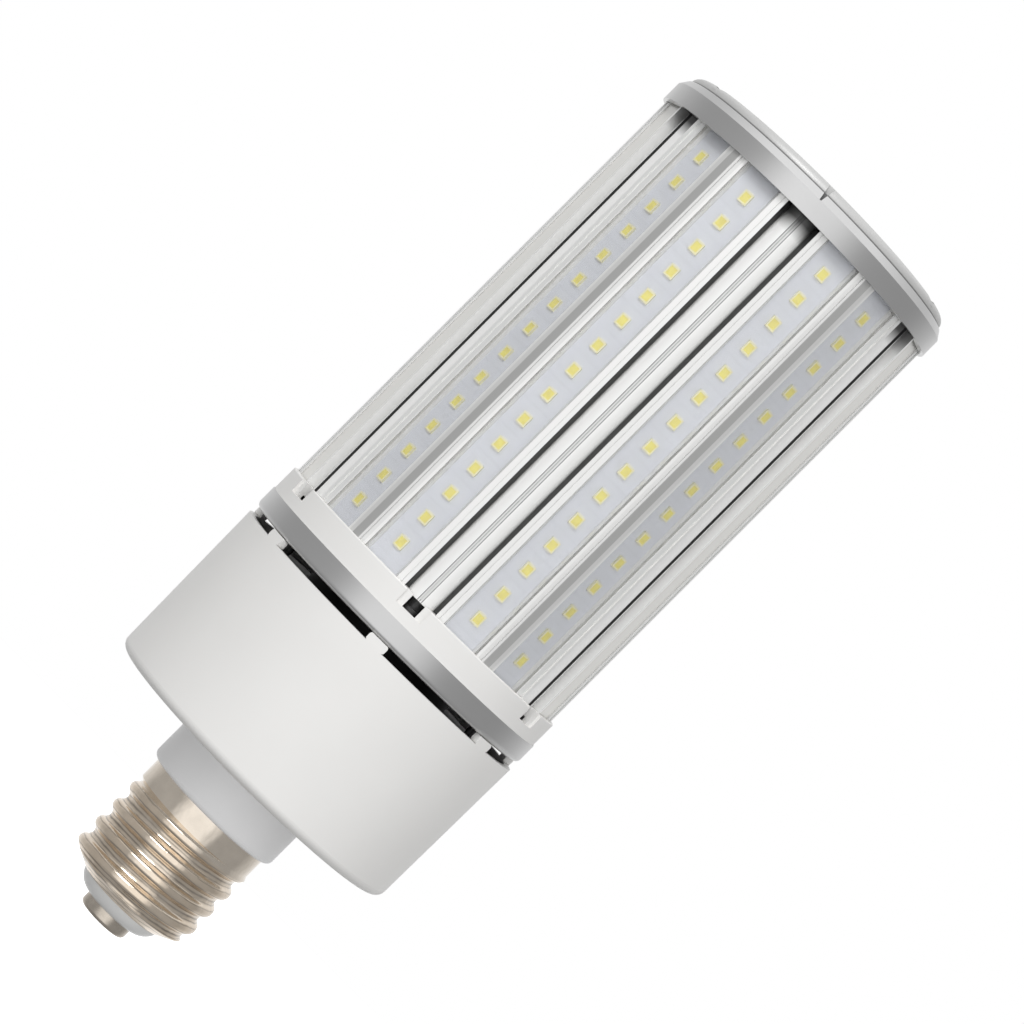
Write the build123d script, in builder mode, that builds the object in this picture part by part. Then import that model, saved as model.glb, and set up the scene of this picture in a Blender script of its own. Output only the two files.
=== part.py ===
from build123d import *
from math import atan2, ceil, cos, radians, sin, sqrt, tan
import os

# Screw-base corn lamp, in millimetres. +Z runs along the lamp from the base
# contact to the lid, and the origin is on the axis at the tip of the contact.
# The front slot of the heat sink faces -Y.

# Screw base: contact, insulator and rolled shell
contact_diameter = 15.0
contact_height = 3.5
contact_round = 1.3
stem_diameter = 3.8
stem_proud = 0.6
insulator_nose = 4.0
nose_foot = 0.6
nose_bulge_depth = 0.9
insulator_flange = 33.0
insulator_flange_height = 6.0
thread_diameter = 39.3
thread_pitch = 6.35
thread_arc = 1.85
crest_height = 27.9
shell_wall = 0.45
shell_height = 33.3
lip_diameter = 26.2
lip_shoulder = 35.6
lip_rise = 2.5
shoulder_rise = 1.5
skirt_diameter = 38.1
skirt_height = 6.0
skirt_run_in = 1.6
root_overlap = 0.3

# Collar between the shell and the driver housing
collar_diameter = 42.0
collar_height = 12.2
collar_round = 1.8
collar_wall = 2.6
neck_height = 5.5
shell_spigot_depth = 12.0
housing_spigot_diameter = 34.0
housing_spigot_proud = 1.5

# Driver housing
housing_diameter = 96.0
housing_draft = 0.7
housing_height = 50.5
housing_wall = 2.2
housing_floor = 2.6
housing_floor_rise = 2.6
housing_seat_margin = 0.8
housing_corner = 2.6
inner_corner = 1.0
vent_gap = 2.4
post_count = 7
post_width = 6.2
post_round = 0.7
boss_count = 3
boss_wall = 2.1
boss_inset = 9.8
boss_rib = 1.6
cover_drop = 4.0

# Driver board and what it carries
driver_board_plane = 4.0
driver_board_thickness = 1.6
driver_board_margin = 7.0
driver_board_height = 38.0
driver_board_rise = 0.8
rail_thickness = 1.5
rail_lap = 3.0
terminal_depth = 8.0
terminal_height = 8.0
terminal_margin = 3.0
terminal_edge = 0.5
clamp_screw_diameter = 3.2
clamp_screw_depth = 1.2
lead_pitch = 5.0
output_terminal_offset = 14.0
output_lead_plane = -1.0
core_width = 26.0
core_height = 18.0
core_thickness = 8.0
core_yoke = 3.8
core_side = 3.4
core_leg = 7.0
core_rise = 19.5
core_stand_off = 8.2
winding_margin = 0.3
winding_bulge = 5.4
winding_round = 1.8
bobbin_foot_width = 20.0
capacitor_diameter = 13.0
capacitor_length = 24.0
capacitor_edge = 0.6
capacitor_pitch = 17.0
capacitor_offset = 21.5
capacitor_rise = 19.5
choke_diameter = 20.0
choke_bore = 8.0
choke_thickness = 9.0
choke_edge = 1.6
choke_gap = 1.0
choke_rise = 13.0

# Driver cover with its wire chimney
cover_plate = 1.8
chimney_diameter = 50.0
chimney_wall = 1.5
cover_hole = 3.2

# Lower trim ring and crown
trim_height = 6.5
trim_round = 1.6
trim_skirt = 4.4
trim_plate = 2.0
wire_bore = 44.0
register_height = 1.0
register_width = 0.9
crown_inset = 0.3
crown_height = 7.5
crown_wall = 2.4
crown_plate = 2.5
crown_edge = 0.4
seat_depth = 0.5
recess_height = 4.3
recess_depth = 1.0
port_height = 4.2

# Heat sink: six modules with two board facets each, and a slot between modules
body_length = 136.2
module_count = 6
facet_inset = 2.7
corner_inset = 1.4
slot_width = 11.0
slot_floor_inset = 12.2
slot_side_wall = 2.0
slot_floor_wall = 2.0
channel_inset = 7.4
channel_wall = 2.0
channel_slit = 1.4
channel_neck = 5.0
back_wall = 2.0
fin_thickness = 1.4
fin_tip_inset = 15.0
side_fin_offset = 1.5

# Board channel in each facet
led_line_offset = 2.5
led_board_width = 9.8
led_board_thickness = 1.0
led_board_depth = 2.1
flare_width = 0.55
flare_height = 0.85
mouth_margin = 1.0
cover_thickness = 0.5
cover_lap = 0.45
lip_thickness = 0.4
corner_lip_width = 1.6
corner_groove_width = 0.3
slot_lip_width = 1.55
slot_groove_width = 0.4
groove_depth = 0.3

# Light-emitting packages on each board
led_count = 15
led_end_margin = 6.85
led_length = 3.5
led_width = 2.8
led_height = 0.7

# Wiring
lead_diameter = 1.8
arc_share = 0.45
neutral_start = 1.0
neutral_rise = 4.5
neutral_clear = 1.2
output_lead_reach = 24.5
output_lead_step = 4.0
link_ring_gap = 0.2
link_ring_bore = 48.0
link_ring_thickness = 1.2
strip_lead_diameter = 1.2
strip_lead_lap = 3.8
strip_lead_hole = 1.6

# Cap ring, gasket and lid
gasket_thickness = 0.8
end_bore_inset = 18.0
cap_inset = 0.25
cap_band = 5.4
cap_chamfer_width = 1.45
cap_chamfer_height = 2.1
cap_edge = 0.35
cap_flange = 2.5
lid_height = 6.5
lid_gap = 0.35
lid_round = 2.4
lid_plate = 2.4
lid_skirt = 2.3
lid_boss_wall = 0.7
lid_screw_count = 3
key_count = 3
key_width = 2.0
key_foot_width = 0.5
key_depth = 3.75

# Screws
screw_diameter = 4.2
screw_length = 20.0
screw_head = 7.8
screw_head_height = 2.4
screw_head_edge = 0.6
head_clearance = 0.35
head_recess = 0.4
shank_clearance = 0.2
long_screw_diameter = 2.4
long_screw_engagement = 10.0
long_screw_head = 5.0
long_screw_head_height = 1.8

# Clearances, and how far a cut runs past the surface that it opens
fit = 0.1
seat_clearance = 0.15
overcut = 1.0

# Angles round the lamp, from +X towards +Y
front = -90.0
module_angle = 360.0 / module_count
facet_angle = module_angle / 4
long_screw_start = front + module_angle
lid_screw_start = front + 360.0 / lid_screw_count / 2

# Heights up the lamp
lip_z = contact_height + insulator_nose
collar_z = lip_z + shell_height
housing_z = collar_z + collar_height
rim_z = housing_z + housing_height
trim_z = rim_z + vent_gap
crown_z = trim_z + trim_height
body_z = crown_z + crown_height
cap_z = body_z + body_length
band_top_z = cap_z + cap_band
sink_z = body_z - seat_depth
sink_top_z = cap_z + seat_depth
sink_length = sink_top_z - sink_z
sink_mid_z = (sink_z + sink_top_z) / 2
gasket_top_z = sink_top_z + gasket_thickness
flange_top_z = gasket_top_z + cap_flange
lid_top_z = flange_top_z + lid_height
trim_plate_z = crown_z - trim_plate
cover_z = rim_z - cover_drop
crown_plate_z = sink_z - crown_plate
floor_corner_z = housing_z + housing_floor_rise
cavity_corner_z = floor_corner_z + housing_floor
driver_board_z = cavity_corner_z + driver_board_rise
driver_board_top_z = driver_board_z + driver_board_height

# Radii of the lamp, each set in from the rim of the driver housing
housing_radius = housing_diameter / 2
trim_radius = housing_radius
crown_radius = trim_radius - crown_inset
cap_radius = trim_radius - cap_inset
corner_radius = trim_radius - corner_inset
facet_radius = trim_radius - facet_inset
channel_radius = trim_radius - channel_inset
slot_floor_radius = trim_radius - slot_floor_inset
fin_tip_radius = trim_radius - fin_tip_inset
end_bore_radius = trim_radius - end_bore_inset
link_ring_radius = fin_tip_radius - link_ring_gap
strip_lead_start = link_ring_radius - strip_lead_lap

# Screw clearances that several pieces share
screw_port = screw_diameter + fit
channel_bore = screw_diameter + 2 * shank_clearance
head_pocket = screw_head + 2 * head_clearance
long_screw_hole = long_screw_diameter + 2 * fit


def polar(radius, angle):
    """A point in plan at a radius and an angle in degrees."""
    return (radius * cos(radians(angle)), radius * sin(radians(angle)))


def save(piece, label):
    """Label a finished piece with its node name and write it."""
    piece.part.label = label
    export_step(piece.part, f"parts/{label}.step")


def rings_at(shape, height, least_radius=0.0):
    """Round edges of a shape at a height, beyond a radius."""
    edges = shape.edges().filter_by(GeomType.CIRCLE)
    edges = edges.filter_by(lambda edge: abs(edge.center().Z - height) < fit / 2)
    return edges.filter_by(lambda edge: edge.radius > least_radius)


def lead_radii(corners):
    """For each corner of a route, the largest arc that its two runs allow."""
    radii = []
    for before, corner, after in zip(corners, corners[1:], corners[2:]):
        arriving = corner - before
        leaving = after - corner
        shorter = min(arriving.length, leaving.length)
        radii.append(arc_share * shorter / tan(radians(arriving.get_angle(leaving)) / 2))
    return radii


os.makedirs("parts", exist_ok=True)

# Centre contact: a disc with the stem that carries the live lead
contact_radius = contact_diameter / 2
stem_radius = stem_diameter / 2
lip_radius = lip_diameter / 2
shoulder_radius = lip_shoulder / 2
lip_slope = atan2(lip_rise, shoulder_radius - lip_radius)
lip_wall_rise = shell_wall / cos(lip_slope)
nose_radius = lip_radius - fit
flange_radius = insulator_flange / 2
throat_z = lip_z + lip_wall_rise + fit
flange_z = throat_z + (flange_radius - nose_radius) * tan(lip_slope)
insulator_top_z = flange_z + insulator_flange_height
stem_top_z = insulator_top_z + stem_proud

with BuildPart() as centre_contact:
    with BuildSketch():
        Circle(contact_radius)
    extrude(amount=contact_height)
    fillet(rings_at(centre_contact, 0), contact_round)
    with BuildSketch(Plane.XY.offset(contact_height)):
        Circle(stem_radius)
    extrude(amount=stem_top_z - contact_height)
save(centre_contact, "centre_contact")

# Insulator: its nose fills the lip, and its flange lies on the lip inside
with BuildPart() as base_insulator:
    with BuildSketch(Plane.XZ):
        with BuildLine():
            hole_foot = (stem_radius + fit, contact_height)
            nose_edge = (contact_radius + nose_foot, contact_height)
            nose_top = (nose_radius, lip_z)
            Line(hole_foot, nose_edge)
            SagittaArc(nose_edge, nose_top, -nose_bulge_depth)
            Polyline(
                nose_top,
                (nose_radius, throat_z),
                (flange_radius, flange_z),
                (flange_radius, insulator_top_z),
                (stem_radius + fit, insulator_top_z),
                hole_foot,
            )
        make_face()
    revolve(axis=Axis.Z)
save(base_insulator, "base_insulator")

# Screw shell: half a turn of the thread is swept from its form in a plane through
# the axis. The other half is the same, turned round and half a pitch higher.
crest_radius = thread_diameter / 2
thread_depth = 2 * thread_arc - sqrt(4 * thread_arc**2 - (thread_pitch / 2) ** 2)
root_radius = crest_radius - thread_depth
flank_radius = crest_radius - thread_depth / 2
skirt_radius = skirt_diameter / 2
skirt_z = collar_z - skirt_height
run_in_z = skirt_z - skirt_run_in
shell_bore_radius = root_radius - shell_wall
lowest_crest = -ceil((crest_height + overcut + thread_pitch - lip_z) / thread_pitch)
highest_crest = ceil((skirt_z + overcut - crest_height) / thread_pitch)

with BuildPart() as thread_half:
    with BuildSketch(Plane.XZ):
        with BuildLine():
            for turn in range(lowest_crest, highest_crest + 1):
                crest_z = crest_height + turn * thread_pitch
                flank_foot = (flank_radius, crest_z - thread_pitch / 4)
                flank_top = (flank_radius, crest_z + thread_pitch / 4)
                ThreePointArc(flank_foot, (crest_radius, crest_z), flank_top)
                if turn == lowest_crest:
                    wave_foot = flank_foot
                if turn < highest_crest:
                    root = (root_radius, crest_z + thread_pitch / 2)
                    next_foot = (flank_radius, crest_z + 3 * thread_pitch / 4)
                    ThreePointArc(flank_top, root, next_foot)
            Polyline(
                flank_top,
                (lip_radius - overcut, flank_top[1]),
                (lip_radius - overcut, wave_foot[1]),
                wave_foot,
            )
        make_face()
    with BuildLine() as half_turn:
        Helix(pitch=thread_pitch, height=thread_pitch / 2, radius=root_radius)
    sweep(path=half_turn.line, is_frenet=True)

with BuildPart() as shell_hollow:
    with BuildSketch(Plane.XZ):
        with BuildLine():
            Polyline(
                (0, lip_z - overcut),
                (lip_radius, lip_z - overcut),
                (lip_radius, lip_z + lip_wall_rise),
                (
                    shell_bore_radius,
                    lip_z + lip_wall_rise + (shell_bore_radius - lip_radius) * tan(lip_slope),
                ),
                (shell_bore_radius, run_in_z),
                (skirt_radius - shell_wall, skirt_z),
                (skirt_radius - shell_wall, collar_z + overcut),
                (0, collar_z + overcut),
                close=True,
            )
        make_face()
    revolve(axis=Axis.Z)

with BuildPart() as screw_shell:
    with Locations(Location(), Location((0, 0, thread_pitch / 2), (0, 0, 180))):
        add(thread_half.part)
    with BuildSketch(Plane.XZ):
        with BuildLine():
            Polyline(
                (0, lip_z),
                (lip_radius, lip_z),
                (shoulder_radius, lip_z + lip_rise),
                (crest_radius + fit, lip_z + lip_rise + shoulder_rise),
                (crest_radius + fit, run_in_z),
                (skirt_radius, skirt_z),
                (0, skirt_z),
                close=True,
            )
        make_face()
    revolve(axis=Axis.Z, mode=Mode.INTERSECT)
    with BuildSketch(Plane.XZ):
        with BuildLine():
            Polyline(
                (0, run_in_z),
                (root_radius - root_overlap, run_in_z),
                (skirt_radius, skirt_z),
                (skirt_radius, collar_z),
                (0, collar_z),
                close=True,
            )
        make_face()
    revolve(axis=Axis.Z)
    add(shell_hollow.part, mode=Mode.SUBTRACT)
save(screw_shell, "screw_shell")

# Collar: its neck fills the shell's skirt, and a spigot passes the housing floor
collar_radius = collar_diameter / 2
neck_radius = skirt_radius - shell_wall - fit
shell_spigot_radius = root_radius - shell_wall - 2 * fit
bore_radius = shell_spigot_radius - collar_wall
housing_spigot_radius = housing_spigot_diameter / 2
spigot_foot_z = collar_z - shell_spigot_depth
neck_z = collar_z - neck_height
spigot_top_z = housing_z + housing_floor + housing_spigot_proud

with BuildPart() as base_collar:
    with BuildSketch(Plane.XZ):
        with BuildLine():
            Polyline(
                (bore_radius, spigot_foot_z),
                (shell_spigot_radius, spigot_foot_z),
                (shell_spigot_radius, neck_z),
                (neck_radius, neck_z + neck_radius - shell_spigot_radius),
                (neck_radius, collar_z),
                (collar_radius, collar_z),
                (collar_radius, housing_z),
                (housing_spigot_radius, housing_z),
                (housing_spigot_radius, spigot_top_z),
                (bore_radius, spigot_top_z),
                close=True,
            )
        make_face()
    revolve(axis=Axis.Z)
    fillet(rings_at(base_collar, collar_z, neck_radius + fit), collar_round)
save(base_collar, "base_collar")

# One vent post, built at the front of the rim
rim_inner_radius = housing_radius - housing_wall

with BuildPart() as vent_post:
    with BuildSketch(Plane.XZ) as post_face:
        with Locations((0, (rim_z + trim_z) / 2)):
            Rectangle(post_width, vent_gap)
        fillet(post_face.vertices().group_by(Axis.Z)[-1], post_round)
    extrude(amount=housing_radius + overcut)
    with BuildSketch(Plane.XZ):
        with Locations(((rim_inner_radius + housing_radius) / 2, (rim_z + trim_z) / 2)):
            Rectangle(housing_wall, vent_gap)
    revolve(axis=Axis.Z, mode=Mode.INTERSECT)

# Driver housing: a deep cup with posts on its rim, a boss for each long screw and
# two pairs of rails for the driver board
foot_radius = housing_radius - housing_draft
housing_hole = housing_spigot_radius + fit
seat_radius = collar_radius + housing_seat_margin
boss_circle_radius = housing_radius - boss_inset
boss_radius = long_screw_hole / 2 + boss_wall
mid_wall_radius = foot_radius - housing_wall / 2
driver_board_length = housing_diameter - 2 * driver_board_margin
rail_gap = driver_board_thickness + 2 * fit
rail_start = driver_board_length / 2 - rail_lap
rail_offset = (rail_gap + rail_thickness) / 2
rail_end = sqrt(mid_wall_radius**2 - (driver_board_plane + rail_offset + rail_thickness) ** 2)

with BuildPart() as driver_housing:
    with BuildSketch(Plane.XZ):
        with BuildLine():
            Polyline(
                (housing_hole, housing_z),
                (seat_radius, housing_z),
                (foot_radius, floor_corner_z),
                (housing_radius, rim_z),
                (rim_inner_radius, rim_z),
                (foot_radius - housing_wall, cavity_corner_z),
                (seat_radius, housing_z + housing_floor),
                (housing_hole, housing_z + housing_floor),
                close=True,
            )
        make_face()
    revolve(axis=Axis.Z)
    fillet(rings_at(driver_housing, floor_corner_z, seat_radius), housing_corner)
    fillet(rings_at(driver_housing, cavity_corner_z, seat_radius), inner_corner)
    with BuildSketch(Plane.XY.offset(floor_corner_z)):
        with PolarLocations(boss_circle_radius, boss_count, start_angle=long_screw_start):
            Circle(boss_radius)
        with PolarLocations(
            (boss_circle_radius + mid_wall_radius) / 2, boss_count, start_angle=long_screw_start
        ):
            Rectangle(mid_wall_radius - boss_circle_radius, boss_rib)
    extrude(amount=cover_z - floor_corner_z)
    with BuildSketch(Plane.XY.offset(cover_z)):
        with PolarLocations(boss_circle_radius, boss_count, start_angle=long_screw_start):
            Circle(long_screw_hole / 2)
    extrude(amount=-long_screw_engagement - overcut, mode=Mode.SUBTRACT)
    with BuildSketch(Plane.XY.offset(floor_corner_z)):
        for side in (-1, 1):
            with Locations((side * (rail_start + rail_end) / 2, driver_board_plane)):
                Rectangle(rail_end - rail_start, rail_gap + 2 * rail_thickness)
    extrude(amount=driver_board_z - floor_corner_z)
    with BuildSketch(Plane.XY.offset(driver_board_z)):
        for side in (-1, 1):
            for flank in (-1, 1):
                rail_y = driver_board_plane + flank * rail_offset
                with Locations((side * (rail_start + rail_end) / 2, rail_y)):
                    Rectangle(rail_end - rail_start, rail_thickness)
    extrude(amount=driver_board_height)
    with PolarLocations(0, post_count):
        add(vent_post.part)
save(driver_housing, "driver_housing")

# Driver board, standing on edge between the rails
board_face_y = driver_board_plane - driver_board_thickness / 2
board_mid_z = (driver_board_z + driver_board_top_z) / 2

with BuildPart() as driver_board:
    with BuildSketch(Plane.XZ.offset(-board_face_y)):
        with Locations((0, board_mid_z)):
            Rectangle(driver_board_length, driver_board_height)
    extrude(amount=-driver_board_thickness)
save(driver_board, "driver_board")

board_face = Plane.XZ.offset(-board_face_y)

# Terminal blocks: mains leads below, and board leads above
input_xs = [0, -lead_pitch]
output_xs = [output_terminal_offset - lead_pitch / 2, output_terminal_offset + lead_pitch / 2]
terminal_mid_zs = [
    driver_board_z + terminal_height / 2,
    driver_board_top_z - terminal_height / 2,
]

with BuildPart() as terminal_blocks:
    for lead_xs, terminal_mid_z in zip((input_xs, output_xs), terminal_mid_zs):
        with BuildSketch(board_face):
            with Locations((sum(lead_xs) / 2, terminal_mid_z)):
                Rectangle(lead_pitch + 2 * terminal_margin, terminal_height)
        extrude(amount=terminal_depth)
    chamfer(terminal_blocks.faces().sort_by(Axis.Y)[0:2].edges(), terminal_edge)
    for lead_xs, terminal_mid_z in zip((input_xs, output_xs), terminal_mid_zs):
        with BuildSketch(board_face.offset(terminal_depth)):
            with Locations(*[(lead_x, terminal_mid_z) for lead_x in lead_xs]):
                Circle(clamp_screw_diameter / 2)
        extrude(amount=-clamp_screw_depth, mode=Mode.SUBTRACT)
save(terminal_blocks, "terminal_blocks")

# Transformer: a core with two windows, and the wound bobbin round its middle leg
core_mid_z = driver_board_z + core_rise
core_face = board_face.offset(core_stand_off)
window_width = (core_width - core_leg) / 2 - core_side
window_height = core_height - 2 * core_yoke
window_offset = (core_leg + window_width) / 2

with BuildPart() as transformer_core:
    with BuildSketch(core_face):
        with Locations((0, core_mid_z)):
            Rectangle(core_width, core_height)
        with Locations((-window_offset, core_mid_z), (window_offset, core_mid_z)):
            Rectangle(window_width, window_height, mode=Mode.SUBTRACT)
    extrude(amount=core_thickness)
save(transformer_core, "transformer_core")

winding_width = core_leg + 2 * (window_width - winding_margin)
winding_height = window_height - 2 * winding_margin
core_mid_y = board_face_y - core_stand_off - core_thickness / 2

with BuildPart() as transformer_bobbin:
    with BuildSketch(Plane.XY.offset(core_mid_z - winding_height / 2)):
        with Locations((0, core_mid_y)):
            RectangleRounded(winding_width, core_thickness + 2 * winding_bulge, winding_round)
    extrude(amount=winding_height)
    with BuildSketch(board_face):
        with Locations((0, core_mid_z)):
            Rectangle(bobbin_foot_width, winding_height)
    extrude(amount=core_stand_off - winding_bulge)
    with BuildSketch(Plane.XY.offset(core_mid_z)):
        with Locations((0, core_mid_y)):
            Rectangle(core_leg + 2 * fit, core_thickness + 2 * fit)
    extrude(amount=winding_height, both=True, mode=Mode.SUBTRACT)
save(transformer_bobbin, "transformer_bobbin")

# Two smoothing capacitors, one above the other
capacitor_mid_z = driver_board_z + capacitor_rise

with BuildPart() as bulk_capacitors:
    with BuildSketch(board_face):
        with Locations((-capacitor_offset, capacitor_mid_z)):
            with GridLocations(0, capacitor_pitch, 1, 2):
                Circle(capacitor_diameter / 2)
    extrude(amount=capacitor_length)
    chamfer(bulk_capacitors.faces().sort_by(Axis.Y)[0:2].edges(), capacitor_edge)
save(bulk_capacitors, "bulk_capacitors")

# Line choke: a wound ring beside the transformer
choke_offset = rail_start - choke_gap - choke_diameter / 2

with BuildPart() as line_choke:
    with BuildSketch(board_face):
        with Locations((choke_offset, driver_board_z + choke_rise)):
            Circle(choke_diameter / 2)
            Circle(choke_bore / 2, mode=Mode.SUBTRACT)
    extrude(amount=choke_thickness)
    chamfer(line_choke.faces().sort_by(Axis.Y)[0].edges(), choke_edge)
save(line_choke, "line_choke")

# Driver cover: the plate on the bosses, with the chimney that leads the wires up
cover_radius = rim_inner_radius - fit - cover_drop * (housing_radius - foot_radius) / (
    rim_z - cavity_corner_z
)
chimney_radius = chimney_diameter / 2
chimney_bore_radius = chimney_radius - chimney_wall

with BuildPart() as driver_cover:
    with BuildSketch(Plane.XY.offset(cover_z)):
        Circle(cover_radius)
        Circle(chimney_bore_radius, mode=Mode.SUBTRACT)
        with PolarLocations(boss_circle_radius, boss_count, start_angle=long_screw_start):
            Circle(cover_hole / 2, mode=Mode.SUBTRACT)
    extrude(amount=cover_plate)
    with BuildSketch(Plane.XY.offset(cover_z)):
        Circle(chimney_radius)
        Circle(chimney_bore_radius, mode=Mode.SUBTRACT)
    extrude(amount=trim_plate_z - cover_z)
save(driver_cover, "driver_cover")

# Base leads: the live lead rises from the stem, and the other from the shell wall
lead_radius = lead_diameter / 2
neutral_foot_radius = root_radius - shell_wall - lead_radius - fit
neutral_bore_radius = bore_radius - lead_radius - neutral_clear
neutral_z = insulator_top_z + neutral_start

with BuildPart() as base_leads:
    with BuildSketch(Plane.XY.offset(stem_top_z)):
        Circle(lead_radius)
    extrude(amount=driver_board_z - stem_top_z)
    neutral_corners = [
        Vector(-neutral_foot_radius, 0, neutral_z),
        Vector(-neutral_foot_radius, 0, neutral_z + neutral_rise),
        Vector(-neutral_bore_radius, 0, spigot_foot_z - lead_radius),
        Vector(-neutral_bore_radius, 0, collar_z + neutral_rise),
        Vector(-lead_pitch, 0, housing_z),
        Vector(-lead_pitch, 0, driver_board_z),
    ]
    with BuildLine() as neutral_route:
        FilletPolyline(*neutral_corners, radius=lead_radii(neutral_corners))
    with BuildSketch(Plane.XY.offset(neutral_z)):
        with Locations((-neutral_foot_radius, 0)):
            Circle(lead_radius)
    sweep(path=neutral_route.wires()[0])
save(base_leads, "base_leads")

# Output leads: up through the chimney, then level on to the link ring
link_z = sink_z + link_ring_thickness
link_lead_z = link_z + lead_radius

with BuildPart() as output_leads:
    for step, lead_x in enumerate(output_xs):
        reach = output_lead_reach - step * output_lead_step
        output_corners = [
            Vector(lead_x, output_lead_plane, driver_board_top_z),
            Vector(lead_x, output_lead_plane, link_lead_z),
            Vector(lead_x, -reach, link_lead_z),
        ]
        with BuildLine() as output_route:
            FilletPolyline(*output_corners, radius=lead_radii(output_corners))
        with BuildSketch(Plane.XY.offset(driver_board_top_z)):
            with Locations((lead_x, output_lead_plane)):
                Circle(lead_radius)
        sweep(path=output_route.wires()[0])
save(output_leads, "output_leads")

# Lower trim ring: a skirt that stands on the posts, a plate, and a raised register
crown_inner_radius = crown_radius - crown_wall
register_radius = crown_inner_radius - fit
wire_bore_radius = wire_bore / 2

with BuildPart() as lower_trim_ring:
    with BuildSketch(Plane.XZ):
        with BuildLine():
            Polyline(
                (trim_radius - trim_skirt, trim_z),
                (trim_radius, trim_z),
                (trim_radius, crown_z),
                (register_radius, crown_z),
                (register_radius, crown_z + register_height),
                (register_radius - register_width, crown_z + register_height),
                (register_radius - register_width, crown_z),
                (wire_bore_radius, crown_z),
                (wire_bore_radius, trim_plate_z),
                (trim_radius - trim_skirt, trim_plate_z),
                close=True,
            )
        make_face()
    revolve(axis=Axis.Z)
    fillet(rings_at(lower_trim_ring, trim_z, trim_radius - trim_skirt + fit), trim_round)
    with BuildSketch(Plane.XY.offset(crown_z)):
        with PolarLocations(boss_circle_radius, boss_count, start_angle=long_screw_start):
            Circle(long_screw_hole / 2)
    extrude(amount=-trim_plate, mode=Mode.SUBTRACT)
save(lower_trim_ring, "lower_trim_ring")

# Long screws: they cross the vent gap and pull the housing up to the trim ring
with BuildPart() as housing_screws:
    with BuildSketch(Plane.XY.offset(crown_z)):
        with PolarLocations(boss_circle_radius, boss_count, start_angle=long_screw_start):
            Circle(long_screw_head / 2)
    extrude(amount=long_screw_head_height)
    with BuildSketch(Plane.XY.offset(crown_z)):
        with PolarLocations(boss_circle_radius, boss_count, start_angle=long_screw_start):
            Circle(long_screw_diameter / 2)
    extrude(amount=cover_z - long_screw_engagement - crown_z)
save(housing_screws, "housing_screws")


def facet_outline(clearance):
    """The heat sink's outside without its slots, grown by a clearance."""
    RegularPolygon(
        facet_radius + clearance, 2 * module_count, major_radius=False, rotation=front
    )
    RegularPolygon(
        corner_radius + clearance,
        module_count,
        major_radius=False,
        rotation=front,
        mode=Mode.INTERSECT,
    )


def sink_outline(clearance):
    """The heat sink's outside with slots and screw channels, grown by a clearance."""
    facet_outline(clearance)
    slot_foot = slot_floor_radius + clearance
    slot_length = corner_radius + slot_width - slot_foot
    with PolarLocations(slot_foot + slot_length / 2, module_count, start_angle=front):
        Rectangle(slot_length, slot_width - 2 * clearance, mode=Mode.SUBTRACT)
    with PolarLocations(channel_radius, module_count, start_angle=front):
        Circle(channel_bore / 2 + channel_wall + clearance)
    neck_length = channel_radius - slot_floor_radius + slot_floor_wall / 2
    with PolarLocations(channel_radius - neck_length / 2, module_count, start_angle=front):
        Rectangle(neck_length, channel_neck + 2 * clearance)


# Lower crown: a wall round the sink's foot, with an open port under each slot
with BuildPart() as lower_crown:
    with BuildSketch(Plane.XZ):
        with BuildLine():
            Polyline(
                (crown_inner_radius, crown_z),
                (crown_radius, crown_z),
                (crown_radius, body_z),
                (wire_bore_radius, body_z),
                (wire_bore_radius, crown_plate_z),
                (crown_inner_radius, crown_plate_z),
                close=True,
            )
        make_face()
    revolve(axis=Axis.Z)
    fillet(rings_at(lower_crown, body_z, crown_inner_radius), crown_edge)
    with BuildSketch(Plane.XY.offset(sink_z)):
        sink_outline(seat_clearance)
    extrude(amount=seat_depth + overcut, mode=Mode.SUBTRACT)
    port_length = crown_radius + overcut - channel_radius
    with BuildSketch(Plane.XY.offset(body_z + overcut)):
        with PolarLocations(channel_radius, module_count, start_angle=front):
            Circle(screw_port / 2)
        with PolarLocations(channel_radius + port_length / 2, module_count, start_angle=front):
            Rectangle(port_length, screw_port)
    extrude(amount=-port_height - overcut, mode=Mode.SUBTRACT)
    with BuildSketch(Plane.XY.offset(body_z + overcut)):
        with PolarLocations(crown_radius, module_count, start_angle=front):
            Rectangle(2 * recess_depth, head_pocket)
    extrude(amount=-recess_height - overcut, mode=Mode.SUBTRACT)
save(lower_crown, "lower_crown")

# Outline of the channel that a board facet carries, as depth and offset
board_face_n = facet_radius - led_board_depth
pocket_n = board_face_n - led_board_thickness
cover_n = board_face_n + flare_height
lip_under_n = cover_n + cover_thickness + fit / 2
lip_top_n = lip_under_n + lip_thickness
groove_n = lip_top_n - groove_depth
open_n = facet_radius + overcut
pocket_half = led_board_width / 2 + fit / 2
mouth_half = pocket_half + mouth_margin


def channel_flank(side, lip_width, groove_width):
    """One flank of the channel, from its floor out to the facet."""
    edge = led_line_offset + side * pocket_half
    mouth = led_line_offset + side * mouth_half
    groove = mouth + side * lip_width
    return [
        (pocket_n, edge),
        (board_face_n, edge),
        (cover_n, edge + side * flare_width),
        (cover_n, mouth + side * cover_lap),
        (lip_under_n, mouth + side * cover_lap),
        (lip_under_n, mouth),
        (lip_top_n, mouth),
        (lip_top_n, groove),
        (groove_n, groove),
        (groove_n, groove + side * groove_width),
        (open_n, groove + side * groove_width),
    ]


corner_flank = channel_flank(1, corner_lip_width, corner_groove_width)
slot_flank = channel_flank(-1, slot_lip_width, slot_groove_width)
channel_outline = slot_flank[::-1] + corner_flank

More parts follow.
